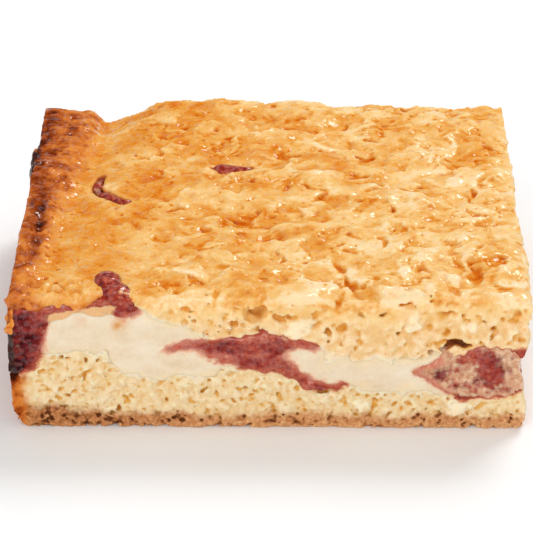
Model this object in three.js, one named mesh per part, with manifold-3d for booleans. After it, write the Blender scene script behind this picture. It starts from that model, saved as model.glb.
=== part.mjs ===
// A square of filled blondie cut from a tray bake. A butter-cake base carries a seam of cream
// cheese and berry jam, and a cake top with a flaky golden crust closes it. The left side stood
// against the tin and has a raised brown rim; the other three sides are knife cuts.
//
// Millimetres. +X runs along the front cut, +Y to the back, +Z up. The origin is the middle of
// the underside. The layers are drawn once, on the front cut, and swept to the back, kneaded on
// the way so that the ribbons wander.
import * as THREE from "three";
import { mergeVertices } from "three/addons/utils/BufferGeometryUtils.js";
import Module from "manifold-3d";

// Driving dimensions
const WIDTH = 82;
const DEPTH = 77;
const HEIGHT = 24;
const GAP = 0.3; // clearance between neighbouring pieces
const CORNER = 2; // rounding of the lower edge where the cake lay in the tin's corner
const CROWN = 0.2; // how far the top falls from its middle to its sides
const RISE = { front: -0.6, back: 1.2, from: -33, to: -18 }; // the crust climbs to the back, off the rim

// Fineness of the facets
const TOP_STEP = 2.15; // spacing of the crust's relief
const STRETCH_SEGMENTS = 2; // facets along one stretch of a seam
const SIDE_SEGMENTS = 2; // facets up one side of a layer
const SEAM_STEPS = 14; // facets from front to back along a filling

// Relief of the crust
const SWELL = { height: 0.45, length: 13 };
const CRAG = { height: 0.3, length: 4.6 };
const FLAKE = { length: [2.6, 4.6], width: [1.5, 2.6], height: [0.35, 0.7], slope: 0.35, edge: [0.75, 1.15] };
const FLAKE_GRID = { from: -22, spacing: 6.5, seed: 41 };
const RANDOM = { factor: 16807, modulus: 2147483647 }; // of the recurrence that draws the flakes
const RIDGE = { height: 0.6, width: 3, inset: 2.5 }; // lip along the tin
const VALLEY = { frontX: -36.3, backX: -29.6, frontDepth: 0.9, backDepth: 2.9, tinWidth: 1.4 };
const VALLEY_SLOPE = { front: 2.4, back: 7 }; // reach of the valley's slope away from the tin
const EDGE_ROLL = { drop: 0.5, reach: 1.8 }; // softening of the cut edges of the crust
const EDGE_INSET = 0.15; // how far the crust's outermost line stands back from the sides
const NOTCHES = [
  { x: 12, y: 38, radius: 2.8, depth: 1.1 },
  { x: 24, y: 38, radius: 1.7, depth: 1.3 },
];

// Wandering of the layers from front to back; the front cut itself stays as drawn
const SWAY = { reach: 4.5, halfWaves: 1.7 };
const HEAVE = { reach: 1.1, halfWaves: 1.3, length: 11 };
const SINK = { reach: 4.4, x: -30, width: 13 }; // fall of the left end of the seam towards the back
const TIN_REACH = 11; // width of the zone beside the tin where the seam narrows
const SEAM_LEVEL = 14.5; // middle of the seam beside the tin
const SEAM_LEAST = 0.45; // share of its front height that the seam keeps beside the tin
const LEAK = { at: 0.62, length: 0.11, share: 0.55 }; // burst where jam ran out against the tin
const FRONT_LEAK = 0.14; // share of the depth over which the front leak closes

// Jam that shows on the crust
const SPOT = { x: -6.8, y: 9.4, streak: [3.9, 0.9, 0.9], bead: [2, 1.7, 1.2], beadShift: [-0.6, -0.9] };
const CRACK = { radius: 0.75, sunk: 0.5, path: [[-28.9, 8.4], [-29.4, 2.8], [-27.2, -1.8], [-23.9, -4.9]] };
const BURST = {
  lip: { place: [-24.5, -38, 21.9], radii: [2.9, 4.4, 1.7] },
  bead: { place: [-25.8, -34, 22.5], radii: [1.9, 3.2, 1.5] },
};
const BALL_SIDES = 14;
const TUBE_SIDES = 8;
const CRACK_STEPS = 14;

const HALF = WIDTH / 2;
const TRIM = GAP / 2; // every outline is drawn to the middle of the gap and trimmed by this
const RAW_HALF = HALF + TRIM;

const { clamp, lerp, smoothstep } = THREE.MathUtils;

// Points [x, z] of the front cut where three layers meet
const MEET = {
  tinLow: [-RAW_HALF, 8.6],
  tinHigh: [-RAW_HALF, 20.2],
  creamStartLow: [-35.3, 13.5],
  creamStartHigh: [-20.4, 20.4],
  ribbonLow: [-5.5, 10.2],
  ribbonHigh: [-8, 15.2],
  ribbonEndLow: [13, 7.5],
  ribbonEndHigh: [7.6, 13.7],
  pocketLow: [28.4, 6.9],
  pocketHigh: [27.2, 12.7],
  cutLow: [RAW_HALF - 1.5, 8.2],
  cutHigh: [RAW_HALF - 1.4, 13.2],
};

// A smooth stretch of seam through points [x, z], as a list of points
function seam(...points) {
  const curve = new THREE.SplineCurve(points.map(([x, z]) => new THREE.Vector2(x, z)));
  return curve.getPoints(STRETCH_SEGMENTS * (points.length - 1));
}

// The stretches between the meeting points: the seam's floor and ceiling from left to right,
// and the walls between jam and cream from floor to ceiling
const floor = {
  jamLeft: seam(MEET.tinLow, [-38.2, 10.5], MEET.creamStartLow),
  creamLeft: seam(MEET.creamStartLow, [-30.4, 14], [-25.2, 10.9], [-20, 9.3], [-12, 9.7], MEET.ribbonLow),
  jamMiddle: seam(MEET.ribbonLow, [1.6, 9.3], [6, 7.6], MEET.ribbonEndLow),
  creamRight: seam(MEET.ribbonEndLow, [16, 6.9], [22, 6.7], MEET.pocketLow),
  jamRight: seam(MEET.pocketLow, [32.6, 5.9], [37.4, 6.7], MEET.cutLow),
};
const ceiling = {
  jamLeft: seam(MEET.tinHigh, [-35.4, 20.8], [-29, 21.8], [-24, 21.6], MEET.creamStartHigh),
  creamLeft: seam(MEET.creamStartHigh, [-17.6, 18.6], [-13, 16.1], MEET.ribbonHigh),
  jamMiddle: seam(MEET.ribbonHigh, [-4.7, 15.7], [-0.6, 16.2], MEET.ribbonEndHigh),
  creamRight: seam(MEET.ribbonEndHigh, [10, 11.9], [15, 11.6], [22, 12.4], MEET.pocketHigh),
  jamRight: seam(MEET.pocketHigh, [31.4, 13.8], [35, 14.6], MEET.cutHigh),
};
const wall = {
  creamStart: seam(
    MEET.creamStartLow, [-35.2, 16.4], [-33, 19.2], [-29.5, 20.1], [-24, 19.5], MEET.creamStartHigh,
  ),
  ribbonStart: seam(MEET.ribbonLow, [-8, 11.7], [-11.6, 13.1], [-17.8, 13.6], [-12.2, 14.9], MEET.ribbonHigh),
  ribbonEnd: seam(MEET.ribbonEndLow, [6, 9.2], [2.3, 11], [2, 12.9], MEET.ribbonEndHigh),
  pocket: seam(MEET.pocketLow, [25.8, 8.5], [22.4, 10.1], [24.8, 11.5], MEET.pocketHigh),
};

// Stretches joined end to end into one closed outline, each shared point kept once
function outline(...stretches) {
  return stretches.flatMap((points) => points.slice(0, -1));
}

const back = (points) => [...points].reverse();
const line = (...points) => points.map(([x, z]) => new THREE.Vector2(x, z));
const allFloor = Object.values(floor).flatMap((points, n) => (n ? points.slice(1) : points));
const allCeiling = Object.values(ceiling).flatMap((points, n) => (n ? points.slice(1) : points));

// A side of a layer: a curve through points [x, z], with few facets
function side(...points) {
  const curve = new THREE.SplineCurve(points.map(([x, z]) => new THREE.Vector2(x, z)));
  return curve.getPoints(SIDE_SEGMENTS * (points.length - 1));
}

// The crust's line on the cut, from right to left, before its relief is added
function crustLine() {
  const rawTop = HEIGHT + TRIM;
  const reach = HALF - EDGE_INSET;
  const count = Math.round((2 * reach) / TOP_STEP);
  return Array.from({ length: count + 1 }, (_, n) => {
    const x = lerp(reach, -reach, n / count);
    return new THREE.Vector2(x, rawTop - CROWN * (x / HALF) ** 2);
  });
}

const top = crustLine();
const topRight = [top[0].x, top[0].y];
const topLeft = [top.at(-1).x, top.at(-1).y];
const underRight = [RAW_HALF - 1.6, -TRIM];
const underLeft = [-RAW_HALF + CORNER, -TRIM];

const outlines = {
  base_cake: outline(
    line(underLeft, underRight),
    side(underRight, [RAW_HALF - 0.5, 1.4], [RAW_HALF - 0.6, 4.6], MEET.cutLow),
    back(allFloor),
    side(MEET.tinLow, [-RAW_HALF + 0.3, 3.6], underLeft),
  ),
  top_cake: outline(
    allCeiling,
    side(MEET.cutHigh, [RAW_HALF - 0.4, 17.4], [RAW_HALF, 21.4], topRight),
    top,
    side(topLeft, [-RAW_HALF, 22.4], MEET.tinHigh),
  ),
  jam_left: outline(floor.jamLeft, wall.creamStart, back(ceiling.jamLeft), line(MEET.tinHigh, MEET.tinLow)),
  cream_left: outline(floor.creamLeft, wall.ribbonStart, back(ceiling.creamLeft), back(wall.creamStart)),
  jam_middle: outline(floor.jamMiddle, wall.ribbonEnd, back(ceiling.jamMiddle), back(wall.ribbonStart)),
  cream_right: outline(floor.creamRight, wall.pocket, back(ceiling.creamRight), back(wall.ribbonEnd)),
  jam_right: outline(
    floor.jamRight,
    line(MEET.cutLow, MEET.cutHigh),
    back(ceiling.jamRight),
    back(wall.pocket),
  ),
};

// Distance from a point to the nearest stretch of a closed outline
function distanceTo(points, place) {
  const nearest = new THREE.Vector3();
  const target = new THREE.Vector3(place.x, place.y, 0);
  const distances = points.map((point, n) => {
    const after = points[(n + 1) % points.length];
    const edge = new THREE.Line3(new THREE.Vector3(point.x, point.y), new THREE.Vector3(after.x, after.y));
    return edge.closestPointToPoint(target, true, nearest).distanceTo(target);
  });
  return Math.min(...distances);
}

// The outline moved inwards by TRIM; what would lie closer, in a sharp tip, is left out
function trimmed(points) {
  const nearEnough = 0.97 * TRIM;
  const moved = points.map((point, n) => {
    const arrive = point.clone().sub(points.at(n - 1)).normalize();
    const leave = points[(n + 1) % points.length].clone().sub(point).normalize();
    const normal = new THREE.Vector2(-arrive.y - leave.y, arrive.x + leave.x).normalize();
    const slant = normal.dot(new THREE.Vector2(-arrive.y, arrive.x));
    return point.clone().addScaledVector(normal, TRIM / slant);
  });
  return moved.filter((place) => distanceTo(points, place) > nearEnough);
}

// Smooth repeatable noise from -1 to 1, with one lattice step for each unit
function noise(x, y) {
  const corner = (i, j) => {
    const scattered = Math.sin(i * 127.1 + j * 311.7) * 43758.5453;
    return scattered - Math.floor(scattered);
  };
  const [i, j] = [Math.floor(x), Math.floor(y)];
  const [u, v] = [smoothstep(x - i, 0, 1), smoothstep(y - j, 0, 1)];
  const near = lerp(corner(i, j), corner(i + 1, j), u);
  const far = lerp(corner(i, j + 1), corner(i + 1, j + 1), u);
  return 2 * lerp(near, far, v) - 1;
}

const bell = (offset, width) => Math.exp(-((offset / width) ** 2));
const depthShare = (y) => clamp((y + DEPTH / 2) / DEPTH, 0, 1);

// Repeatable random numbers in a range [low, high]
function randomFrom(seed) {
  let state = seed;
  return ([low, high]) => {
    state = (state * RANDOM.factor) % RANDOM.modulus;
    return lerp(low, high, state / RANDOM.modulus);
  };
}

// Flakes strewn over the crust, one to each square of a grid, clear of the rim
function strewnFlakes() {
  const { from, spacing, seed } = FLAKE_GRID;
  const draw = randomFrom(seed);
  const jitter = [-spacing / 2, spacing / 2];
  const flakes = [];
  for (let x = from; x < HALF; x += spacing) {
    for (let y = -DEPTH / 2; y < DEPTH / 2; y += spacing) {
      const place = { x: x + draw(jitter), y: y + draw(jitter), turn: draw([0, 2 * Math.PI]) };
      const size = { length: draw(FLAKE.length), width: draw(FLAKE.width), height: draw(FLAKE.height) };
      flakes.push({ ...place, ...size });
    }
  }
  return flakes;
}

const flakes = strewnFlakes();

// Height of a flake over one place: a plate that slopes across its width
function flakeHeight(flake, x, y) {
  const offset = new THREE.Vector2(x - flake.x, y - flake.y).rotateAround(new THREE.Vector2(), -flake.turn);
  const [along, across] = [offset.x / flake.length, offset.y / flake.width];
  const plate = 1 - smoothstep(Math.hypot(along, across), ...FLAKE.edge);
  return flake.height * plate * (1 - FLAKE.slope + FLAKE.slope * across);
}

// Height of the crust's relief above its plain crowned level
function relief(x, y) {
  const share = depthShare(y);
  const swell = SWELL.height * noise(x / SWELL.length + 0.4, y / SWELL.length + 3.1);
  const crags = CRAG.height * noise(x / CRAG.length + 7.3, y / CRAG.length);
  const ridge = RIDGE.height * bell(x + HALF - RIDGE.inset, RIDGE.width);
  const fromValley = x - lerp(VALLEY.frontX, VALLEY.backX, share);
  const gentle = lerp(VALLEY_SLOPE.front, VALLEY_SLOPE.back, share ** 2);
  const slope = fromValley < 0 ? VALLEY.tinWidth : gentle;
  const valley = lerp(VALLEY.frontDepth, VALLEY.backDepth, share ** 2) * bell(fromValley, slope);
  const toEdge = Math.min(DEPTH / 2 - Math.abs(y), HALF - x);
  const roll = EDGE_ROLL.drop * (1 - smoothstep(toEdge, 0, EDGE_ROLL.reach));
  const rise = lerp(RISE.front, RISE.back, share) * smoothstep(x, RISE.from, RISE.to);
  const flaky = Math.max(0, ...flakes.map((flake) => flakeHeight(flake, x, y)));
  const notches = NOTCHES.map((n) => n.depth * bell(Math.hypot(x - n.x, y - n.y), n.radius));
  const plain = swell + crags + ridge + rise + flaky - valley - roll;
  return notches.reduce((height, notch) => height - notch, plain);
}

// Moves a point of the swept layers to where baking and settling left it
function knead(point) {
  const share = depthShare(point.y);
  const inside = Math.sin(Math.PI * clamp(point.z / HEIGHT, 0, 1)); // 0 at the underside and the crust
  const besideTin = clamp((TIN_REACH - HALF - point.x) / TIN_REACH, 0, 1);
  const onTop = smoothstep(point.z, MEET.tinHigh[1] + 2, HEIGHT - CROWN);
  const open = Math.max(bell(share, FRONT_LEAK), LEAK.share * bell(share - LEAK.at, LEAK.length));
  const narrowing = (1 - lerp(SEAM_LEAST, 1, open)) * besideTin * inside;
  const heave = HEAVE.reach * Math.sin(HEAVE.halfWaves * Math.PI * share) * Math.cos(point.x / HEAVE.length);
  const lift = onTop * relief(point.x, point.y);
  const underCrust = smoothstep(point.z, 0, SEAM_LEVEL) * (1 - onTop);
  const sink = SINK.reach * smoothstep(share, 0, 1) * bell(point.x - SINK.x, SINK.width) * underCrust;
  const sway = SWAY.reach * Math.sin(SWAY.halfWaves * Math.PI * share) * (1 - (point.x / RAW_HALF) ** 2);
  point.z += lift - sink - narrowing * (point.z - SEAM_LEVEL) + heave * inside * (1 - besideTin);
  point.x += sway * inside;
  return point;
}

// One layer: its outline swept from front to back and kneaded
function layer(points, steps) {
  const section = new THREE.Shape(trimmed(points));
  const swept = new THREE.ExtrudeGeometry(section, { depth: DEPTH, steps, bevelEnabled: false });
  swept.rotateX(Math.PI / 2).translate(0, DEPTH / 2, 0);
  const places = swept.getAttribute("position");
  const point = new THREE.Vector3();
  for (let n = 0; n < places.count; n += 1) {
    knead(point.fromBufferAttribute(places, n));
    places.setXYZ(n, point.x, point.y, point.z);
  }
  return swept;
}

const wasm = await Module();
wasm.setup();

// A closed geometry as a solid that can be cut and joined
function solidOf(geometry) {
  const bare = geometry.clone();
  bare.deleteAttribute("normal");
  bare.deleteAttribute("uv");
  const merged = mergeVertices(bare);
  const vertProperties = new Float32Array(merged.getAttribute("position").array);
  const triVerts = new Uint32Array(merged.index.array);
  return new wasm.Manifold(new wasm.Mesh({ numProp: 3, vertProperties, triVerts }));
}

// A cut or joined solid as a geometry again
function geometryOf(solid) {
  const { vertProperties, triVerts } = solid.getMesh();
  const geometry = new THREE.BufferGeometry();
  geometry.setAttribute("position", new THREE.BufferAttribute(vertProperties, 3));
  geometry.setIndex(new THREE.BufferAttribute(triVerts, 1));
  geometry.computeVertexNormals();
  return geometry;
}

const crustHeight = (x, y) => HEIGHT - CROWN * (x / HALF) ** 2 + relief(x, y);

// An ellipsoid of jam, larger all round by grow
function drop(radii, place, grow) {
  const ball = new THREE.SphereGeometry(1, BALL_SIDES, BALL_SIDES / 2);
  ball.scale(...radii.map((radius) => radius + grow)).translate(...place);
  return solidOf(ball);
}

// A streak of jam with a bead in it, sunk in the crust
function jamSpot(grow) {
  const height = crustHeight(SPOT.x, SPOT.y);
  const [beadX, beadY] = [SPOT.x + SPOT.beadShift[0], SPOT.y + SPOT.beadShift[1]];
  const streak = drop(SPOT.streak, [SPOT.x, SPOT.y, height - SPOT.streak[2] / 2], grow);
  return streak.add(drop(SPOT.bead, [beadX, beadY, height - SPOT.bead[2] / 2], grow));
}

// Jam that wells up along a crack in the crust
function jamCrack(grow) {
  const path = CRACK.path.map(([x, y]) => new THREE.Vector3(x, y, crustHeight(x, y) - CRACK.sunk));
  const ring = new THREE.Shape().absarc(0, 0, CRACK.radius + grow, 0, 2 * Math.PI);
  const route = new THREE.CatmullRomCurve3(path);
  return solidOf(
    new THREE.ExtrudeGeometry(ring, { extrudePath: route, steps: CRACK_STEPS, curveSegments: TUBE_SIDES }),
  );
}

// Jam that burst through the crust at the front cut, cut off flush with it, and ran back as a bead
function jamBurst(grow) {
  const flush = new THREE.BoxGeometry(WIDTH, DEPTH, 2 * HEIGHT).translate(0, 0, HEIGHT);
  const [lip, bead] = [BURST.lip, BURST.bead].map(({ radii, place }) => drop(radii, place, grow));
  const burst = lip.add(bead);
  return grow ? burst : burst.intersect(solidOf(flush));
}

const crumb = new THREE.MeshStandardMaterial({ color: 0xe9cc9d, roughness: 0.9, metalness: 0 });
const crust = new THREE.MeshStandardMaterial({ color: 0xf2b86a, roughness: 0.6, metalness: 0 });
const cream = new THREE.MeshStandardMaterial({ color: 0xefdcc0, roughness: 0.5, metalness: 0 });
const jam = new THREE.MeshStandardMaterial({ color: 0x9a2f28, roughness: 0.25, metalness: 0 });

const topSteps = Math.round(DEPTH / TOP_STEP);
const pockets = [jamSpot(GAP), jamCrack(GAP), jamBurst(GAP)];
const uncutTop = solidOf(layer(outlines.top_cake, topSteps));
const topCake = pockets.reduce((cake, pocket) => cake.subtract(pocket), uncutTop);
const jamLeft = solidOf(layer(outlines.jam_left, SEAM_STEPS)).add(jamBurst(0));

const pieces = {
  base_cake: [layer(outlines.base_cake, SEAM_STEPS), crumb],
  top_cake: [geometryOf(topCake), crust],
  cream_left: [layer(outlines.cream_left, SEAM_STEPS), cream],
  cream_right: [layer(outlines.cream_right, SEAM_STEPS), cream],
  jam_left: [geometryOf(jamLeft), jam],
  jam_middle: [layer(outlines.jam_middle, SEAM_STEPS), jam],
  jam_right: [layer(outlines.jam_right, SEAM_STEPS), jam],
  jam_spot: [geometryOf(jamSpot(0)), jam],
  jam_crack: [geometryOf(jamCrack(0)), jam],
};

const blondie = new THREE.Group();
for (const [name, [geometry, material]] of Object.entries(pieces)) {
  const piece = new THREE.Mesh(geometry, material);
  piece.name = name;
  blondie.add(piece);
}

export default blondie;
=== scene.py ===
"""A square of filled blondie: butter cake, cream cheese and berry jam under a flaky golden crust.

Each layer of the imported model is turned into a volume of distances, roughened with flakes, crumbs and
pores, and meshed again, so that crust and crumb are real relief. Millimetres until the mesh is made.
"""
import math

import bpy
import numpy as np
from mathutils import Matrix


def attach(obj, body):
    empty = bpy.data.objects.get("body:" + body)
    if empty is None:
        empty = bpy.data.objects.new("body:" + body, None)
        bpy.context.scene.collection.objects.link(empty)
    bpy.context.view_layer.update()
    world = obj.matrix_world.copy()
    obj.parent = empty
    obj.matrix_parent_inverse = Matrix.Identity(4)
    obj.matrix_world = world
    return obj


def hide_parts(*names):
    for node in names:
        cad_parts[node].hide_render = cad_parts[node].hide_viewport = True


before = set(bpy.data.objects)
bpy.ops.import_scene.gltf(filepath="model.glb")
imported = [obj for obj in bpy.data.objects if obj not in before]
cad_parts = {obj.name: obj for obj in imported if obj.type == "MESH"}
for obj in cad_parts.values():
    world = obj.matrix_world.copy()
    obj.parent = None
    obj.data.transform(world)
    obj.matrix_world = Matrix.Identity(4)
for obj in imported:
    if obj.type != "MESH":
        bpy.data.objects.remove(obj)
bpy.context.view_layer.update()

import openvdb

# The cake as the solids give it
HALF_WIDTH = 41.0
HALF_DEPTH = 38.5
HEIGHT = 24.0
RIGHT_HOLLOW = {"deep": 1.6, "level": 10.7, "height": 5.0}  # where the right face draws in at the filling
GROOVE_X = -38.0  # dark groove in the rim along the tin
MM = 0.001

# Fineness of the volumes, and how the layers meet
CAKE_STEP = 0.3
BASE_STEP = 0.22
FILLING_STEP = 0.27
DROP_STEP = 0.18
MARGIN = 2.2  # room kept round each solid
CLOSING = 0.17  # growth of every layer, which closes the solids' clearance
TUCK = 0.6  # how far fillings reach under their neighbours
PROUD = 0.1  # how far fillings stand out of the cut faces
SMOOTHING = 0.3  # rounding of the fillings' facets
END_INSET = 0.6  # how far inside the front and back cuts the cakes' shape is taken
SIDE_INSET = 1.5  # how far inside all the sides the fillings' shape is taken
ADAPTIVITY = {"crust": 0.17, "crumb": 0.1, "jam": 0.02, "cream": 0.02}  # how far flat places are thinned out
ROUGHNESS = {"jam": 0.13, "cream": 0.05}  # of the fillings where they show
SEAM = {"from": (2.5, 5), "to": (17.5, 19.5), "deep": (3, 5), "sides": (36, 39)}  # where seams wander

# Noise is laid out over this box, so that neighbouring layers share it
WORLD_LOW = (-46.0, -43.0, -4.0)
WORLD_HIGH = (46.0, 43.0, 31.0)
KNOT_SHARE = 151 / 315  # variance that each axis leaves of the knots' own

# Fillings
JAMS = {"jam_left": FILLING_STEP, "jam_middle": FILLING_STEP, "jam_right": FILLING_STEP,
        "jam_spot": DROP_STEP, "jam_crack": DROP_STEP}
CREAMS = ("cream_left", "cream_right")
CRUMBLY = {"jam_right": 0.75, "jam_middle": 0.15, "jam_left": 0.05}  # share of pale pulp in the jam
CRUST_EDGE = {"x": -40.5, "z": 20.0, "rise": 0.17}  # lower edge of the golden crust in the front cut
DROPS = {"jam_spot": 0.1, "jam_crack": 0.0}  # jam that shows on the crust alone, and how far it is swollen
RED_PATCH = {"x": 34.8, "z": 9.6, "wide": 2.6, "high": 3.4}  # clear jam within jam_right
LEAK = {"y": 17.0, "z": 19.0, "wide": 5.0, "high": 6.0}  # jam burnt on the tin, besides the front corner
LEAK_DARK = 1.2  # how much darker the crust is beside such jam
BLISTER = {"place": (-40.9, 18.0, 20.0), "size": (1.1, 3.2, 3.4), "blend": 0.5}  # swollen jam on the tin side
TIN_CRUMB = {"place": (-41.0, -37.9, 17.8), "size": (1.1, 1.0, 1.5), "blend": 0.2, "tint": 2.0}  # in the jam
AMBER_SPOTS = [(-24.0, 18.1, 0.8), (-29.8, 18.6, 0.7), (-22.6, 17.9, 0.4)]  # x, z and size on the front cut
INSIDE = ("jam_left", "jam_middle", "jam_right", *CREAMS)  # fillings that run through the cake


# Noise and blending

def spread(line, low, length):
    """The first of four knots round each place of a line, and the smooth weights of the four."""
    places = (line - low) / length
    first = np.floor(places).astype(int)
    f = (places - first).astype(np.float32)
    return first, np.stack([(1 - f) ** 3, 3 * f**3 - 6 * f**2 + 4, 1 + 3 * (f + f**2 - f**3), f**3]) / 6


def rise(low, high, value):
    """0 up to low and 1 from high on, with a smooth rise between."""
    share = np.clip((value - low) / (high - low), 0, 1)
    return share * share * (3 - 2 * share)


def fade(low, high, value):
    """1 up to low and 0 from high on, with a smooth fall between."""
    return 1 - rise(low, high, value)


def bell(*ways):
    """1 at a middle, fading round about; ways are (value, middle, width)."""
    return np.exp(-sum(((value - middle) / width) ** 2 for value, middle, width in ways))


def blurred(values, width):
    """values averaged along every axis with a bell of this width, in steps."""
    reach = int(2.5 * width) + 1
    weights = np.exp(-0.5 * (np.arange(-reach, reach + 1) / width) ** 2)
    weights = (weights / weights.sum()).astype(np.float32)
    for axis in range(3):
        padded = np.pad(values, [(reach, reach) if n == axis else (0, 0) for n in range(3)], mode="edge")
        values = sum(w * slab(padded, axis, n, values.shape[axis]) for n, w in enumerate(weights))
    return values


def laid(line, axis, count=3):
    """A line of values shaped to lie along one of count axes."""
    return line.reshape([-1 if n == axis else 1 for n in range(count)])


def slab(values, axis, start, length):
    """A slice of values across one axis."""
    part = [slice(None)] * 3
    part[axis] = slice(start, start + length)
    return values[tuple(part)]


def turned(yaw):
    """Axes of a shape turned by yaw about z, as columns."""
    cos_yaw, sin_yaw = math.cos(yaw), math.sin(yaw)
    return np.array([[cos_yaw, -sin_yaw, 0], [sin_yaw, cos_yaw, 0], [0, 0, 1]])


# Shapes that are merged into a layer or cut out of it, as distances over offsets along their axes

def ball(local, radii):
    """An ellipsoid."""
    scaled = [q / r for q, r in zip(local, radii)]
    size = np.sqrt(sum(q * q for q in scaled)) + 1e-6
    slope = np.sqrt(sum((q / r) ** 2 for q, r in zip(scaled, radii))) + 1e-6
    return size * (size - 1) / slope


def flake(local, radii):
    """A thin plate with a squarish outline, a soft edge and a slight curl."""
    long, wide, thick = radii
    size = (np.abs(local[0] / long) ** 3 + np.abs(local[1] / wide) ** 3 + 1e-6) ** (1 / 3)
    outside = (size - 1) * min(long, wide)
    curl = 0.12 / long
    above = np.abs(local[2] - curl * local[0] ** 2) - thick
    corner = np.sqrt(np.maximum(outside, 0) ** 2 + np.maximum(above, 0) ** 2)
    return corner + np.minimum(np.maximum(outside, above), 0)


# A volume of distances to a surface: below 0 inside

class Volume:
    def __init__(self, node, step):
        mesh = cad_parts[node].data
        mesh.calc_loop_triangles()
        points = np.array([v.co for v in mesh.vertices], np.float32) / MM
        faces = np.array([t.vertices for t in mesh.loop_triangles], np.uint32)
        self.step = step
        self.low = points.min(axis=0) - MARGIN
        shape = np.ceil((points.max(axis=0) + MARGIN - self.low) / step).astype(int) + 1
        self.scaling = openvdb.createLinearTransform(voxelSize=step)
        grid = openvdb.FloatGrid.createLevelSetFromPolygons(
            points - self.low, triangles=faces, transform=self.scaling, halfWidth=MARGIN / step)
        self.values = np.empty(shape, np.float32)
        grid.copyToArray(self.values)
        self.extent = self.values  # what the neighbours are stained by
        self.tint = np.zeros(shape, np.float32)
        self.warp = None

    def line(self, axis):
        """The grid's places along one axis."""
        return (self.low[axis] + self.step * np.arange(self.values.shape[axis])).astype(np.float32)

    def axes(self):
        """The grid's x, y and z, each shaped to spread over the volume."""
        return [laid(self.line(n), n) for n in range(3)]

    def noise(self, lengths, seed):
        """Smooth noise of unit spread; lengths are its wavelengths, one for all or one each way."""
        lengths = (lengths,) * 3 if np.isscalar(lengths) else lengths
        counts = [int((WORLD_HIGH[n] - WORLD_LOW[n]) / length) + 5 for n, length in enumerate(lengths)]
        values = np.random.default_rng(seed).standard_normal(counts, np.float32)
        for n in reversed(range(len(lengths))):
            first, weights = spread(self.line(n), WORLD_LOW[n], lengths[n])
            values = sum(laid(weight, n, len(lengths)) * values.take(first + k, axis=n)
                         for k, weight in enumerate(weights))
        return values / KNOT_SHARE ** (len(lengths) / 2)

    def plane_noise(self, length, seed):
        """The same kind of noise over x and y alone."""
        return self.noise((length, length), seed)

    def set_warp(self, reach, length, seed):
        """Bends the outlines of the shapes merged from now on."""
        self.warp = [reach * (self.noise(length, seed + n) + 0.4 * self.noise(0.45 * length, seed + 3 + n))
                     for n in range(3)]

    def wander(self):
        """Moves the seams between the layers a little, alike in every layer."""
        x, y, z = self.axes()
        seam = rise(*SEAM["from"], z) * fade(*SEAM["to"], z) * fade(*SEAM["deep"], from_cut(x, y, z))
        along = 0.5 * self.noise(2.6, 1) + 0.25 * self.noise(1.1, 2) + 0.12 * self.noise(0.6, 5)
        along *= seam * fade(*SEAM["sides"], np.abs(x))
        upward = 0.4 * self.noise(2.6, 3) + 0.22 * self.noise(1.1, 4) + 0.12 * self.noise(0.6, 6)
        upward *= seam
        spots = np.nonzero(seam > 0)
        places = self.low + self.step * np.stack(spots, axis=-1)
        places[:, 0] += along[spots]
        places[:, 2] += upward[spots]
        moved = self.values.copy()
        moved[spots] = self.sample(self.values, places)
        self.values = moved

    def held(self, axis, low, high):
        """Numbers of the grid's places along one axis, held between two limits."""
        line = self.line(axis)
        return np.rint(np.interp(np.clip(line, low, high), line, np.arange(len(line)))).astype(int)

    def flatten_ends(self):
        """Carries the shape just inside the front and back cuts out to them, past the solids' folds."""
        rows = self.held(1, END_INSET - HALF_DEPTH, HALF_DEPTH - END_INSET)
        past_cut = (np.abs(self.line(1)) - HALF_DEPTH)[:, None]
        self.values = np.maximum(self.values[:, rows], past_cut)

    def drawn_in(self, reach):
        """The values that lie this far inside the sides, carried out to them."""
        columns = self.held(0, reach - HALF_WIDTH, HALF_WIDTH - RIGHT_HOLLOW["deep"] - reach)
        rows = self.held(1, reach - HALF_DEPTH, HALF_DEPTH - reach)
        return self.values[columns][:, rows]

    def window(self, centre, reach):
        """The part of the grid within reach of centre, as slices, which are empty outside the grid."""
        first = np.maximum(np.floor((centre - reach - self.low) / self.step).astype(int), 0)
        last = np.ceil((centre + reach - self.low) / self.step).astype(int) + 1
        last = np.clip(last, first, self.values.shape)
        return tuple(slice(a, b) for a, b in zip(first, last))

    def distance(self, part, shape, centre, turn, radii):
        """Distance to a shape over a part of the grid; turn's columns are its axes."""
        offsets = []
        for n in range(3):
            line = self.low[n] + self.step * np.arange(part[n].start, part[n].stop) - centre[n]
            line = laid(line.astype(np.float32), n)
            offsets.append(line if self.warp is None else line + self.warp[n][part])
        return shape([sum(turn[m, n] * offsets[m] for m in range(3)) for n in range(3)], radii)

    def merge(self, way, shape, centre, turn, radii, blend, tint=None):
        """Adds a shape to the solid where way is 1, or cuts it out where way is -1."""
        part = self.window(np.asarray(centre), 1.3 * max(radii) + blend + self.step)
        old = self.values[part]
        new = way * self.distance(part, shape, centre, turn, radii)
        share = np.clip(0.5 + 0.5 * way * (old - new) / blend, 0, 1)
        self.values[part] = old + (new - old) * share - way * blend * share * (1 - share)
        if tint is not None:
            self.tint[part] += (tint - self.tint[part]) * share

    def sample(self, values, points, outside=MARGIN):
        """values of the grid at points, and outside where they lie beyond it."""
        places = (points - self.low) / self.step
        first = np.floor(places).astype(int)
        share = places - first
        inside = ((first >= 0) & (first < np.array(self.values.shape) - 1)).all(axis=1)
        first = np.where(inside[:, None], first, 0)
        total = np.zeros(len(points), np.float32)
        for corner in np.ndindex(2, 2, 2):
            weight = np.prod(np.where(corner, share, 1 - share), axis=1)
            spot = first + corner
            total += weight * values[spot[:, 0], spot[:, 1], spot[:, 2]]
        return np.where(inside, total, outside)

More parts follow.
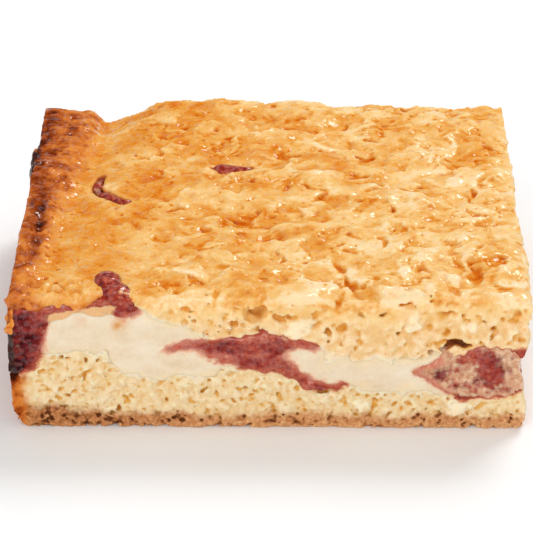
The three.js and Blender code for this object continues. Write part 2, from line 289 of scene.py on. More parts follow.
    def top_heights(self):
        """Height of the top over each x and y of the grid, carried out past the sides."""
        solid = self.values[:, :, ::-1] < 0
        upper = self.values.shape[2] - 1 - solid.argmax(axis=2)
        rows, columns = np.indices(upper.shape)
        under = self.values[rows, columns, upper]
        over = self.values[rows, columns, np.minimum(upper + 1, self.values.shape[2] - 1)]
        share = np.clip(under / (under - over - 1e-6), 0, 1)
        heights = self.low[2] + self.step * (upper + share)
        within = []
        for n, others in enumerate(((1, 2), (0, 2))):
            filled = np.nonzero(solid.any(axis=others))[0]
            within.append(np.clip(np.arange(solid.shape[n]), filled[0] + 1, filled[-1] - 1))
        return heights[np.ix_(*within)]

    def lift(self, heights):
        """Moves the solid up, by a height of its own at each place."""
        count = self.values.shape[2]
        steps = np.arange(count, dtype=np.float32) - heights / self.step
        lower = np.clip(np.floor(steps), 0, count - 2).astype(int)
        share = np.clip(steps - lower, 0, 1)
        under = np.take_along_axis(self.values, lower, axis=2)
        over = np.take_along_axis(self.values, lower + 1, axis=2)
        self.values = under + share * (over - under)

    def mesh(self, level, adaptivity):
        """Points in millimetres and faces of the surface at this level, of its largest body alone."""
        grid = openvdb.FloatGrid(float(self.values.max()))
        grid.transform = self.scaling
        grid.gridClass = openvdb.GridClass.LEVEL_SET
        grid.copyFromArray(np.ascontiguousarray(self.values))
        points, *kinds = grid.convertToPolygons(isovalue=level, adaptivity=adaptivity)
        kinds = [kind.astype(np.int64) for kind in kinds]
        body = largest_body(len(points), kinds)
        number = np.cumsum(body) - 1
        faces = []
        for kind in kinds:
            faces += number[kind[body[kind[:, 0]]]].tolist()
        return points[body] + self.low, faces


def largest_body(count, kinds):
    """Which of count points belong to the largest connected body; kinds are triangles and quads."""
    edges = np.concatenate([kind[:, [n, n + 1]] for kind in kinds for n in range(kind.shape[1] - 1)])
    label = np.arange(count)
    while True:
        least = np.minimum(label[edges[:, 0]], label[edges[:, 1]])
        new = label.copy()
        np.minimum.at(new, edges[:, 0], least)
        np.minimum.at(new, edges[:, 1], least)
        new = new[new]
        new = new[new]
        if (new == label).all():
            break
        label = new
    return label == np.bincount(label).argmax()


# Top crust. Sizes are half sizes; tint goes from -1 for dark to 1 for pale, and holds both the flakes' own
# tone and painted shade in pits, crevices, cracks and hollow chips.

FAR = 9.0  # distance where no flake lies yet
PLATES = {"count": 430, "long": (1.8, 4.2), "wide": (1.2, 2.4), "slope": 0.06}
PALE_PLATE = {"share": 0.4, "level": (0.02, 0.18), "tint": (0.4, 1.0), "chipped": 0.2}
SPONGE_PLATE = {"level": (-0.16, 0.02), "tint": (-0.5, 0.1), "chipped": 1.0}
CHIPS = {"count": 3000, "long": (0.6, 1.5), "wide": (0.4, 0.9), "slope": 0.15}
RAISED_CHIP = {"level": (-0.08, 0.09), "tint": (-0.3, 0.4), "chipped": 1.0}
# hollow chips are darkened with painted shade
HOLLOW_CHIP = {"share": 0.11, "level": (-0.5, -0.2), "tint": (-1.3, -0.8), "chipped": 1.0}
MOST_SLOPE = 0.35  # most that a flake rises from its middle
FLAKE_REACH = 2.5  # part of the map that a flake may own, in half lengths
CREVICE_REACH = 1.5
# painted shade in crevices
CREVICE_SHADE = -1.5
CRACK_DEPTH = 0.5
FLAKE_SHARE = 0.7  # how much of the flakes' height shows
SETTLING = 0.15  # how far the crust is let down, as its flakes stand above it
CRUST_PITS = {"count": 1300, "long": (0.2, 0.45), "wide": (0.18, 0.36), "deep": (0.4, 0.8), "blend": 0.08}
RIM_PITS = {"count": 170, "long": (0.25, 0.7), "wide": (0.2, 0.5), "deep": (0.3, 0.8), "blend": 0.15}
PIT_INSET = 3.0  # pits keep this far from the back and the right side
# painted shade in pits
PIT_SHADE = -1.2
SEEN_FLAKE = {"level": 0.22, "chipped": 0.1}
SEEN_FLAKES = [  # x, y, half length, half width, turn in degrees, slope up to the back, tint
    (21.3, -5.2, 1.8, 2.2, 0, 0.2, 1.0), (30.4, 3.2, 1.5, 2.0, 0, 0.2, 0.9),
    (19.8, -23.0, 2.0, 1.7, -20, 0.12, 1.2), (24.5, -27.4, 1.5, 1.4, 0, 0.2, 0.9),
    (29.6, -33.4, 1.5, 1.6, 0, 0.15, 1.1), (31.4, -27.0, 0.8, 3.0, 0, 0.1, 1.0),
    (14.0, -33.0, 3.4, 0.8, -70, 0.05, 1.0), (8.8, -35.6, 2.6, 1.2, -20, 0.1, 1.1),
    (18.6, -36.6, 1.7, 0.8, 10, 0.2, 1.2), (32.8, -11.6, 2.7, 1.2, 5, 0.25, 1.0),
    (36.1, -7.4, 2.6, 0.6, -45, 0.0, 1.0), (36.9, -13.8, 4.0, 0.6, 78, 0.0, 0.9),
    (38.8, -35.4, 2.2, 0.8, 40, 0.1, 1.0), (-14.0, -3.1, 2.4, 2.2, 30, 0.2, 0.9),
    (-9.4, -12.1, 2.3, 1.8, 0, 0.25, 0.8), (8.0, -5.0, 1.6, 1.7, 0, 0.25, 0.9),
    (12.1, -10.2, 1.8, 1.5, 0, 0.25, 0.8), (3.0, 6.4, 1.7, 1.6, 0, 0.25, 0.8),
    (-2.7, 33.3, 1.8, 1.4, 0, 0.2, 0.8), (-6.9, 18.6, 1.5, 1.8, 0, 0.2, 0.8),
    (10.0, 29.2, 1.6, 1.7, 0, 0.2, 0.8), (-0.5, 24.0, 1.4, 1.5, 0, 0.25, 0.8),
]
SEEN_CREVICES = [  # x, y, half length, half width, turn in degrees, depth
    (11.0, -27.6, 3.2, 0.9, -80, 1.0), (13.2, -34.6, 3.9, 0.55, -68, 0.9),
    (11.6, -20.5, 0.9, 0.8, 0, 1.0), (18.0, -20.0, 2.8, 0.75, 80, 1.1),
    (16.0, -32.6, 1.5, 0.7, 0, 0.9), (5.9, -26.5, 1.0, 0.7, 20, 0.9),
    (2.1, -26.0, 0.8, 0.8, 0, 0.8), (35.4, -13.0, 1.6, 0.7, 10, 0.9),
    (33.3, 0.6, 2.4, 0.45, 85, 0.8), (32.6, -2.4, 1.5, 0.45, -60, 0.8),
    (32.4, -30.4, 3.8, 0.85, 88, 1.1), (30.3, -26.6, 1.5, 0.5, 85, 0.8),
    (36.6, -25.4, 2.0, 0.45, 0, 0.7), (19.3, -7.7, 1.7, 0.7, 75, 1.1),
    (24.6, 1.6, 0.8, 0.8, 0, 0.9), (15.2, 6.5, 1.6, 1.0, 10, 0.9),
    (-15.7, 27.6, 1.3, 0.8, 0, 0.9), (-9.3, 25.3, 1.0, 0.8, 0, 0.8),
    (-15.8, -8.1, 2.4, 0.6, 10, 0.8), (-5.2, -11.2, 2.0, 0.6, -15, 0.8),
    (-35.0, -29.4, 3.2, 0.6, 20, 0.9), (-27.0, 1.5, 1.6, 0.6, 30, 0.7),
    (-4.0, -3.0, 1.8, 0.6, 15, 0.7),
]


def rim_line(y):
    """Inner edge of the raised rim along the tin."""
    return -36.0 + 6.2 * rise(-HALF_DEPTH, HALF_DEPTH, y)


def from_tin(x):
    """Distance from the side that stood against the tin."""
    return x + HALF_WIDTH


def from_cut(x, y, z):
    """Distance from the nearest knife-cut face."""
    hollow = RIGHT_HOLLOW["deep"] * bell((z, RIGHT_HOLLOW["level"], RIGHT_HOLLOW["height"]))
    return np.minimum(HALF_DEPTH - np.abs(y), HALF_WIDTH - hollow - x)


class FlakeMap:
    """A map over x and y. Each place belongs to the flake that is nearest by the flake's own shape."""

    def __init__(self, cake):
        self.cake = cake
        bend = [0.5 * cake.plane_noise(1.7, 71 + n) + 0.15 * cake.plane_noise(0.7, 73 + n) for n in range(2)]
        self.across = cake.line(0)[:, None] + bend[0]
        self.along = cake.line(1)[None, :] + bend[1]
        self.nearest = np.full_like(self.across, FAR)
        self.second = np.full_like(self.across, FAR)
        self.level = np.zeros_like(self.across)
        self.tint = np.zeros_like(self.across)
        self.chipped = np.ones_like(self.across)

    def around(self, place, radii, yaw, reach):
        """The part of the map round a place, the offsets in it, and the offsets' length in half sizes."""
        x, y = place
        part = self.cake.window(np.array([x, y, HEIGHT]), reach * max(radii))[:2]
        over_x, over_y = self.across[part] - x, self.along[part] - y
        u = (math.cos(yaw) * over_x + math.sin(yaw) * over_y) / radii[0]
        v = (math.cos(yaw) * over_y - math.sin(yaw) * over_x) / radii[1]
        return part, over_x, over_y, np.sqrt(u * u + v * v)

    def lay(self, place, radii, yaw, level, slope, tint, chipped):
        """Lays a flat, sloping flake; chipped says how much smaller flakes show on it."""
        part, over_x, over_y, size = self.around(place, radii, yaw, FLAKE_REACH)
        nearest = self.nearest[part]
        nearer = size < nearest
        self.second[part] = np.where(nearer, nearest, np.minimum(self.second[part], size))
        self.nearest[part] = np.minimum(nearest, size)
        plane = level + np.clip(slope[0] * over_x + slope[1] * over_y, -MOST_SLOPE, MOST_SLOPE)
        for values, new in ((self.level, plane), (self.tint, tint), (self.chipped, chipped)):
            values[part] = np.where(nearer, new, values[part])

    def sink(self, place, radii, yaw, depth):
        """Sinks a narrow crevice into the flakes, darkened with painted shade."""
        part, _, _, size = self.around(place, radii, yaw, CREVICE_REACH)
        share = fade(0.4, 1.1, size)
        self.level[part] -= depth * share
        self.tint[part] += (CREVICE_SHADE - self.tint[part]) * share
        self.chipped[part] *= 1 - share

    def strew(self, kind, usual, other, rng):
        """Lays flakes of one kind all over, a share of them with the other's level and tint."""
        for _ in range(kind["count"]):
            place = rng.uniform((-HALF_WIDTH - 1, -HALF_DEPTH - 1), (HALF_WIDTH + 1, HALF_DEPTH + 1))
            radii = [rng.uniform(*kind[side]) for side in ("long", "wide")]
            sort = other if rng.random() < other["share"] else usual
            level, tint = rng.uniform(*sort["level"]), rng.uniform(*sort["tint"])
            slope = rng.normal(0, kind["slope"], 2)
            self.lay(place, radii, rng.uniform(0, math.pi), level, slope, tint, sort["chipped"])


def flakes_and_chips(cake, rng):
    """Heights and tints of broad flakes with chips and cracks between them; the tints hold painted shade in
    the cracks and hollow chips.
    """
    plates = FlakeMap(cake)
    plates.strew(PLATES, SPONGE_PLATE, PALE_PLATE, rng)
    for x, y, long, wide, turn, slope, tint in SEEN_FLAKES:
        yaw = math.radians(turn)
        plates.lay((x, y), (long, wide), yaw, SEEN_FLAKE["level"], (0, slope), tint, SEEN_FLAKE["chipped"])
    for x, y, long, wide, turn, depth in SEEN_CREVICES:
        plates.sink((x, y), (long, wide), math.radians(turn), depth)
    chips = FlakeMap(cake)
    chips.strew(CHIPS, RAISED_CHIP, HOLLOW_CHIP, rng)
    gap = plates.second - plates.nearest
    crack = rise(0.6, 1.4, cake.plane_noise(3.0, 75)) * fade(0.04, 0.2, gap)
    height = plates.level + plates.chipped * chips.level - CRACK_DEPTH * crack
    return height, plates.tint + plates.chipped * chips.tint - crack


def pit_crust(cake, heights, kind, rng, reach=HALF_WIDTH - PIT_INSET):
    """Sinks small hollows of one kind into the crust, from the tin to reach, darkened with painted shade."""
    for _ in range(kind["count"]):
        x = rng.uniform(-HALF_WIDTH + 1, reach)
        y = rng.uniform(-HALF_DEPTH + 1, HALF_DEPTH - PIT_INSET)
        radii = [rng.uniform(*kind[side]) for side in ("long", "wide", "deep")]
        centre = (x, y, height_at(cake, heights, x, y))
        cake.merge(-1, ball, centre, turned(rng.uniform(0, math.pi)), radii, kind["blend"], PIT_SHADE)


def height_at(volume, heights, x, y):
    """The height nearest to a place, or to each of many."""
    i = np.rint((x - volume.low[0]) / volume.step).astype(int)
    j = np.rint((y - volume.low[1]) / volume.step).astype(int)
    return heights[np.clip(i, 0, heights.shape[0] - 1), np.clip(j, 0, heights.shape[1] - 1)]


# Cut faces

HOLE = {"core": 0.75, "ring": 0.6, "lobes": 6, "lobe": (0.3, 0.55), "blend": 0.1}  # how a torn hole is made
PRESSED = {"sunk": 0.15, "thick": 0.3, "blend": 0.12, "tint": 1.6}  # how coconut flakes lie in the cut
# most painted shade in a torn hollow
DARKEST_TEAR = 1.5
FRONT_HOLES = [  # x, z, half width, half height, half depth and tint, which is painted shade inside the hole
    (-2.3, 20.2, 2.2, 1.9, 2.4, -1.0), (29.3, 14.6, 2.6, 1.1, 4.0, -3.0),
    (26.6, 13.5, 0.9, 0.7, 1.2, -1.0), (38.9, 20.0, 1.4, 1.4, 1.4, -1.0),
    (35.2, 17.4, 1.0, 0.9, 1.0, -1.0), (3.3, 18.9, 1.9, 0.5, 1.2, -1.4),
    (9.4, 17.3, 1.2, 0.6, 0.9, -1.0), (14.5, 19.3, 0.9, 0.6, 0.9, -1.2),
    (18.0, 20.4, 1.4, 0.5, 1.1, -1.4), (19.6, 16.5, 1.1, 0.6, 0.8, -1.0),
    (21.4, 21.8, 1.8, 0.5, 1.0, -1.6), (27.4, 20.2, 1.8, 0.6, 1.1, -1.6),
    (30.3, 20.0, 0.6, 0.5, 0.9, -1.6), (25.1, 22.7, 0.7, 0.3, 0.7, -1.4),
]
# holes in the base, given the same way; their tint too is painted shade inside the hole
BASE_HOLES = [
    (-16.7, 4.8, 0.5, 0.7, 0.9, -1.4), (-18.7, 9.1, 0.6, 0.5, 0.9, -1.2),
    (-1.9, 9.0, 0.5, 0.4, 0.8, -1.2), (-29.6, 3.3, 1.0, 0.3, 0.8, -1.4),
]
# Coconut flakes in the front cut: x, z, half width, half height and turn in degrees
CUT_FLAKES = [(4.6, 17.3, 1.9, 1.1, 25), (31.3, 18.0, 1.3, 0.8, -15), (22.6, 18.2, 1.2, 0.9, 10)]
BASE_FLAKES = [(29.9, 4.3, 1.5, 1.3, 35), (15.0, 4.0, 1.2, 0.8, -10)]


def tear(cake, share, length, seed, level, deep):
    """Irregular hollows where noise passes level, darkened with painted shade; share says where they are
    allowed.
    """
    ragged = cake.noise((length, length, 0.75 * length), seed) + 0.5 * cake.noise(0.5 * length, seed + 1)
    hollow = share * rise(level, level + 0.8, ragged)
    cake.values += deep * hollow
    cake.tint = np.maximum(cake.tint - hollow, -DARKEST_TEAR)


def tear_hole(cake, hole, rng):
    """A torn hole of several lobes in the front face, darkened inside with painted shade."""
    x, z, wide, high, deep, tint = hole
    core, ring, blend = HOLE["core"], HOLE["ring"], HOLE["blend"]
    cake.merge(-1, ball, (x, -HALF_DEPTH, z), turned(0), (core * wide, deep, core * high), blend, tint)
    for _ in range(HOLE["lobes"]):
        way = rng.uniform(0, 2 * math.pi)
        place = (x + ring * wide * math.cos(way), -HALF_DEPTH, z + ring * high * math.sin(way))
        size = rng.uniform(*HOLE["lobe"])
        cake.merge(-1, ball, place, turned(0), (size * wide, size * deep, size * high), blend, tint)


def press_flakes(cake, flakes):
    """Lays flakes flat into the front face."""
    for x, z, wide, high, turn in flakes:
        cos_turn, sin_turn = math.cos(math.radians(turn)), math.sin(math.radians(turn))
        facing = np.array([[cos_turn, -sin_turn, 0], [0, 0, -1], [sin_turn, cos_turn, 0]])
        centre = (x, PRESSED["sunk"] - HALF_DEPTH, z)
        radii = (wide, high, PRESSED["thick"])
        cake.merge(1, flake, centre, facing, radii, PRESSED["blend"], PRESSED["tint"])


def crumbs(cake, length, seed, reach):
    """Rounded lumps with creases between them."""
    return reach * (np.abs(cake.noise(length, seed)) - 0.8)


def square_off(cake, proud):
    """Cuts back what stands proud of the four sides."""
    x, y, z = cake.axes()
    cake.values = np.maximum(cake.values, -np.minimum(from_cut(x, y, z), from_tin(x)) - proud)


# Layers

def calm_near(cake, heights, jams):
    """0 on the crust where jam stands in it, rising to 1 a little way off."""
    x, y = np.meshgrid(cake.line(0), cake.line(1), indexing="ij")
    points = np.stack([x, y, heights], axis=-1).reshape(-1, 3)
    distance = np.min([jam.sample(jam.values, points) for jam in jams], axis=0)
    return rise(0.1, 1.2, distance.reshape(heights.shape))


def crumbly_corner(x, y):
    """1 on the lumpy ridge at the front left corner, 0 away from it."""
    return fade(-35.8, -33.2, y) * fade(-31, -27, x)


def crust_relief(cake, heights, jams, rng):
    """Heights and tints that flakes, swellings and grain add to the crust."""
    x, y = cake.line(0)[:, None], cake.line(1)[None, :]
    flakes, tint = flakes_and_chips(cake, rng)
    off_rim = 0.3 + 0.7 * rise(-31, -14, x)
    flakes = FLAKE_SHARE * off_rim * (flakes - blurred(flakes[:, :, None], 5 / cake.step)[:, :, 0])
    flakes = blurred(flakes[:, :, None], 0.13 / cake.step)[:, :, 0]
    swell = 0.16 * cake.plane_noise(5.0, 21) + 0.06 * cake.plane_noise(2.4, 22)
    grain = 0.06 * cake.plane_noise(1.1, 23) + 0.05 * cake.plane_noise(0.7, 24)
    lumps = 0.8 * (np.abs(cake.plane_noise(1.2, 54)) - 0.6) * crumbly_corner(x, y)
    calm = calm_near(cake, heights, jams)
    chipped = np.clip(cake.plane_noise(3.0, 53), 0, 1.5) * fade(0, 2.5, y + HALF_DEPTH)
    return calm * (swell + grain + flakes) + lumps - 0.6 * chipped - SETTLING, calm * off_rim * tint


def roughen_rim(cake, on_top):
    """Bubbles and a dark groove along the tin."""
    x, y, z = cake.axes()
    rim = fade(-1, 2.5, x - rim_line(y))
    groove = bell((x, GROOVE_X, 0.8)) * rise(-30, -25, y) * fade(-8, 2, y)
    bubbles = 0.07 * cake.noise(2.4, 51) + 0.05 * cake.noise(1.0, 52)
    cake.values -= on_top * (rim * bubbles - 0.8 * groove)
    tin = fade(1.5, 4, from_tin(x))
    cake.values -= tin * (0.1 * cake.noise(4.5, 25) + 0.02 * cake.noise(1.2, 26))


def make_top_cake(jams):
    """The upper cake, and the heights of its crust."""
    cake = Volume("top_cake", CAKE_STEP)
    cake.flatten_ends()
    cake.wander()
    rng = np.random.default_rng(11)
    x, y, z = cake.axes()
    heights = cake.top_heights()
    depth = heights[:, :, None] - z
    on_top = fade(1.4, 2.8, depth)
    relief, tint = crust_relief(cake, heights, jams, rng)
    cake.lift(on_top * relief[:, :, None])
    cake.tint += on_top * tint[:, :, None]
    roughen_rim(cake, on_top)
    cake.set_warp(0.22, 1.3, 31)
    heights = cake.top_heights()
    pit_crust(cake, heights, CRUST_PITS, rng)
    pit_crust(cake, heights, RIM_PITS, rng, rim_line(0))
    square_off(cake, 0.1)
    inside = from_cut(x, y, z)
    cut = rise(0.4, 1.6, depth) * fade(0.6, 1.8, inside)
    lumps = 0.18 * cake.noise(2.4, 27) + crumbs(cake, 1.3, 28, 0.22) + crumbs(cake, 0.7, 29, 0.2)
    cake.values -= cut * lumps
    tear(cake, rise(1.5, 3.0, depth) * fade(1.0, 2.4, inside), 1.5, 81, 1.9, 1.0)
    tear(cake, cut, 0.7, 83, 1.2, 0.6)
    cake.set_warp(0.3, 1.1, 35)
    for hole in FRONT_HOLES:
        tear_hole(cake, hole, rng)
    press_flakes(cake, CUT_FLAKES)
    cake.extent = cake.values
    return cake, heights


def make_base_cake():
    cake = Volume("base_cake", BASE_STEP)
    cake.flatten_ends()
    cake.wander()
    rng = np.random.default_rng(12)
    x, y, z = cake.axes()
    cut = fade(0.5, 1.4, from_cut(x, y, z))
    grit = fade(2.2, 3.8, z)
    lumps = 0.1 * cake.noise(1.5, 41) + crumbs(cake, 0.9, 42, 0.17) + crumbs(cake, 0.45, 43, 0.12)
    cake.values -= cut * lumps
    tear(cake, cut, 0.5, 85, 1.1, 0.4)
    tear(cake, cut * rise(2, 3, z), 1.0, 87, 1.8, 0.8)
    tear(cake, cut * grit, 0.6, 89, 1.3, 0.4)
    cake.set_warp(0.25, 0.9, 37)
    for hole in BASE_HOLES:
        tear_hole(cake, hole, rng)
    press_flakes(cake, BASE_FLAKES)
    cake.values = np.maximum(cake.values, CLOSING - z)
    cake.extent = cake.values
    return cake


def make_filling(node, step, seed, roughness):
    """Jam or cream. Layers that run through the cake thin out under their neighbours at the cut faces."""
    filling = Volume(node, step)
    filling.values = blurred(filling.values, SMOOTHING / step)
    shown = 1.0
    if node in INSIDE:
        x, y, z = filling.axes()
        filling.values = filling.drawn_in(SIDE_INSET)
        filling.wander()
        filling.extent = filling.values
        inside = np.minimum(from_cut(x, y, z), from_tin(x))
        taper = 0.5 * rise(0.2, TUCK + 0.1, filling.values)
        filling.values = np.maximum(filling.values - TUCK, taper - PROUD - inside)
        shown = fade(1, 3, inside)
    else:
        filling.values -= DROPS[node]
        filling.extent = filling.values
    lumps = filling.noise(1.6, seed) + 0.5 * filling.noise(0.8, seed + 1)
    filling.values = filling.values - shown * roughness * lumps
    return filling


def burn_on(jam):
    """Adds the blister that burnt on the tin, and a crumb of crust that stuck in the jam."""
    jam.set_warp(0.35, 1.2, 39)
    for lump in (BLISTER, TIN_CRUMB):
        jam.merge(1, ball, lump["place"], turned(0), lump["size"], lump["blend"], lump.get("tint"))


# Meshes

def add(name, data):
    """A new object in the scene."""
    added = bpy.data.objects.new(name, data)
    bpy.context.scene.collection.objects.link(added)
    return added


def make_piece(name, volume, node, slot, look):
    """The volume's surface as an object that stands for a node, and its points in millimetres."""
    points, faces = volume.mesh(CLOSING, ADAPTIVITY[slot])
    mesh = bpy.data.meshes.new(name)
    mesh.from_pydata((points * MM).tolist(), [], faces)
    mesh.shade_smooth()
    mesh.materials.append(look)
    piece = add(name, mesh)
    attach(piece, "root")
    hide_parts(node)
    return piece, points


def give(piece, **values):
    """Stores numbers for each point of the piece, by name, for its material."""
    for name, numbers in values.items():
        layer = piece.data.attributes.new(name, "FLOAT", "POINT")
        layer.data.foreach_set("value", np.ascontiguousarray(numbers, np.float32))


# Materials

def linear(*colour):
    """An sRGB colour of 0 to 255 as linear light, with alpha."""
    shares = [value / 255 for value in colour]
    return [n / 12.92 if n <= 0.04045 else ((n + 0.055) / 1.055) ** 2.4 for n in shares] + [1.0]


class Shading:
    """A material under construction, with short calls for its nodes."""

    def __init__(self, name):
        self.material = bpy.data.materials.new(name)
        self.material.use_nodes = True
        self.tree = self.material.node_tree
        self.shader = self.tree.nodes["Principled BSDF"]
        self.place = self.node("ShaderNodeTexCoord").outputs["Object"]

    def node(self, kind, sockets=None, **settings):
        """A new node with these settings, its sockets fed by name or number."""
        made = self.tree.nodes.new(kind)
        for name, value in settings.items():
            setattr(made, name, value)
        for socket, value in (sockets or {}).items():
            self.feed(made.inputs[socket], value)
        return made

    def feed(self, socket, value):
        """Gives a socket a constant, a node's output or, by name, a number that the points carry."""
        if isinstance(value, str):
            value = self.node("ShaderNodeAttribute", attribute_name=value).outputs["Fac"]
        if hasattr(value, "is_output"):
            self.tree.links.new(value, socket)
        else:
            socket.default_value = value

    def noise(self, size_mm, detail=2.0, roughness=0.55, squeeze=(1, 1, 1)):
        """Noise with features of about this size, even about 0; squeeze is less than 1 along streaks."""
        place = self.node("ShaderNodeVectorMath", {0: self.place, 1: squeeze}, operation="MULTIPLY")
        sockets = {"Vector": place.outputs[0], "Scale": 1 / (size_mm * MM), "Detail": detail,
                   "Roughness": roughness}
        return self.math("SUBTRACT", self.node("ShaderNodeTexNoise", sockets).outputs["Fac"], 0.5)

    def math(self, operation, first, second):
        return self.node("ShaderNodeMath", {0: first, 1: second}, operation=operation).outputs[0]

    def total(self, start, *terms):
        """start plus each value times its weight; terms are (value, weight)."""
        for value, weight in terms:
            start = self.math("ADD", self.math("MULTIPLY", value, weight), start)
        return start

    def rescale(self, value, low, high, to_low=0.0, to_high=1.0):
        """value carried smoothly from one range to another, and kept inside it."""
        sockets = {"Value": value, "From Min": low, "From Max": high, "To Min": to_low, "To Max": to_high}
        return self.node("ShaderNodeMapRange", sockets, interpolation_type="SMOOTHSTEP").outputs["Result"]

    def frayed(self, name, ragged, weight, low, high, most=1.0):
        """A point attribute with its edge frayed by a noise, from 0 at low to most at high."""
        return self.rescale(self.total(0.0, (name, 1.0), (ragged, weight)), low, high, 0.0, most)

    def mix(self, share, first, second):
        return self.node("ShaderNodeMix", {0: share, 6: first, 7: second}, data_type="RGBA").outputs[2]

    def ramp(self, share, *stops):
        """A colour from evenly spaced stops."""
        made = self.node("ShaderNodeValToRGB", {"Fac": share})
        steps = made.color_ramp.elements
        while len(steps) < len(stops):
            steps.new(0.5)
        for n, (step, colour) in enumerate(zip(steps, stops)):
            step.position = n / (len(stops) - 1)
            step.color = linear(*colour)
        return made.outputs["Color"]

    def bump(self, height, depth_mm, strength):
        sockets = {"Height": height, "Distance": depth_mm * MM, "Strength": strength}
        self.set(Normal=self.node("ShaderNodeBump", sockets).outputs["Normal"])

    def soften(self, weight, radius, depth_mm):
        """Lets light into the material."""
        self.set(Subsurface_Weight=weight, Subsurface_Radius=radius, Subsurface_Scale=depth_mm * MM)

    def set(self, **inputs):
        for name, value in inputs.items():
            self.feed(self.shader.inputs[name.replace("_", " ")], value)


def crust_colour(s):
    """Golden crust: cream on its flakes, with painted shade that turns its pits orange and painted light on
    its crests.
    """
    share = s.total(0.5, ("raised", 0.1), ("broad", 0.06), ("tint", 0.22), ("pale", 1.0),
                    (s.noise(0.45, 3), 0.5), (s.noise(2.5), 0.5), (s.noise(8.0), 0.8))
    return s.ramp(share, (206, 96, 12), (220, 130, 36), (230, 162, 76), (241, 194, 124), (250, 220, 174))


def crumb_colour(s, *stops):
    """Pale crumb, from the colour of its deepest hollows to that of its crests: painted shade in hollows,
    painted light on crests.
    """
    share = s.total(0.68, ("raised", 0.12), ("tint", 0.2), (s.noise(0.4), 0.4), (s.noise(3.0, 3), 0.35))
    return s.ramp(share, *stops)


def bake_brown(s, colour, low, high):
    """Colours what is browned by the tin, from golden to very dark, with painted light on its crests."""
    brown = s.total(0.0, ("brown", 1.0), (s.noise(2.0, 3), 0.5))
    along_tin = (1, 0.5, 1)
    share = s.total(0.0, (brown, 0.58), ("raised", -0.08), (s.noise(4.0), 1.0),
                    (s.noise(0.7, 2, 0.55, along_tin), 0.35), (s.noise(1.6, 2, 0.55, along_tin), 0.5))
    baked = s.ramp(share, (234, 160, 76), (222, 138, 60), (202, 112, 46),
                   (166, 78, 28), (118, 44, 14), (64, 24, 12))
    return s.mix(s.rescale(brown, low, high), colour, baked)


def blend_fillings(s, colour):
    """Colours the crumb where jam and cream soaked into it."""
    ragged = s.noise(0.8, 3)
    cream = s.frayed("near_cream", ragged, 0.7, 0.2, 1.0)
    colour = s.mix(cream, colour, linear(240, 222, 192))
    jam = s.frayed("near_jam", ragged, 0.7, 0.2, 1.1)
    stain = s.ramp(jam, (236, 196, 148), (218, 156, 116), (190, 108, 82), (160, 70, 58))
    return s.mix(s.rescale(jam, 0.0, 0.4), colour, stain)


def top_cake_material():
    s = Shading("golden_crust")
    crumb = crumb_colour(s, (206, 130, 40), (226, 164, 78), (236, 198, 143), (249, 228, 192))
    # painted shade: the deepest holes are coloured brown
    crumb = s.mix(s.rescale("tint", -1.9, -2.8), crumb, linear(176, 104, 58))
    crumb = s.mix(s.math("MULTIPLY", "gold", 0.45), crumb, linear(248, 208, 132))
    specks = s.math("MULTIPLY", s.rescale(s.noise(0.7, 1), 0.12, 0.2), "specked")
    crumb = s.mix(specks, crumb, linear(128, 44, 18))
    colour = s.mix(s.frayed("crust", s.noise(1.5, 3), 0.9, 0.2, 0.8), crumb, crust_colour(s))
    colour = bake_brown(s, colour, 0.1, 0.6)
    s.set(Base_Color=blend_fillings(s, colour), Roughness=s.rescale("crust", 0, 1, 0.8, 0.5))
    s.soften(0.35, (1.0, 0.5, 0.2), 1.0)
    gloss = s.math("MULTIPLY", "crust", s.rescale(s.noise(0.9), 0.0, 0.12, 0.0, 0.9))
    s.set(Specular_IOR_Level=0.0, Coat_Weight=gloss, Coat_Roughness=0.12)
    s.bump(s.total(0.0, (s.noise(0.5, 3), 1.0), (s.noise(0.2), 0.5)), 0.3, 0.45)
    return s.material


def base_cake_material():
    s = Shading("pale_crumb")
    crumb = crumb_colour(s, (206, 130, 40), (228, 172, 86), (236, 208, 160), (248, 233, 200))
    # the grit gets painted shade in its hollows and painted light on its crests
    grit = s.total(0.5, (s.noise(0.5, 3), 1.0), ("raised", 0.12), ("tint", 0.3), ("dark", -0.25))
    toasted = s.ramp(grit, (112, 62, 34), (190, 126, 78), (220, 164, 112), (246, 210, 166))
    toast = s.total(0.0, ("toast", 1.0), (s.noise(1.5, 3), 0.9), (s.noise(5.0), 0.8))
    colour = s.mix(s.rescale(toast, 0.1, 0.8), crumb, toasted)
    colour = bake_brown(s, colour, 0.2, 0.8)
    s.set(Base_Color=blend_fillings(s, colour), Roughness=0.8, Specular_IOR_Level=0.0)
    s.soften(0.35, (1.0, 0.6, 0.3), 1.0)
    s.bump(s.total(0.0, (s.noise(0.35), 1.0), (s.noise(0.14), 0.5)), 0.3, 0.6)
    return s.material


def cream_material():
    s = Shading("cream_cheese")
    cloud = s.total(0.55, (s.noise(3.0, 3, 0.55, (0.5, 1, 1)), 1.2), (s.noise(0.6), 0.4))
    colour = s.ramp(cloud, (214, 186, 146), (229, 210, 181), (239, 227, 207))
    ragged = s.noise(0.8, 3)
    crumb = s.frayed("near_cake", ragged, 0.7, 0.1, 1.0)
    colour = s.mix(s.math("MULTIPLY", crumb, 0.7), colour, linear(238, 214, 172))
    jam = s.frayed("near_jam", ragged, 0.7, 0.1, 1.1)
    stain = s.ramp(jam, (238, 214, 184), (228, 184, 152), (208, 144, 120), (180, 104, 90))
    colour = s.mix(s.rescale(jam, 0.0, 0.4), colour, stain)
    colour = s.mix("amber", colour, linear(214, 140, 48))
    s.set(Base_Color=colour, Roughness=0.5, Specular_IOR_Level=0.15)
    s.soften(0.3, (1.0, 0.7, 0.45), 1.5)
    s.bump(s.noise(0.5, 3), 0.15, 0.4)
    return s.material


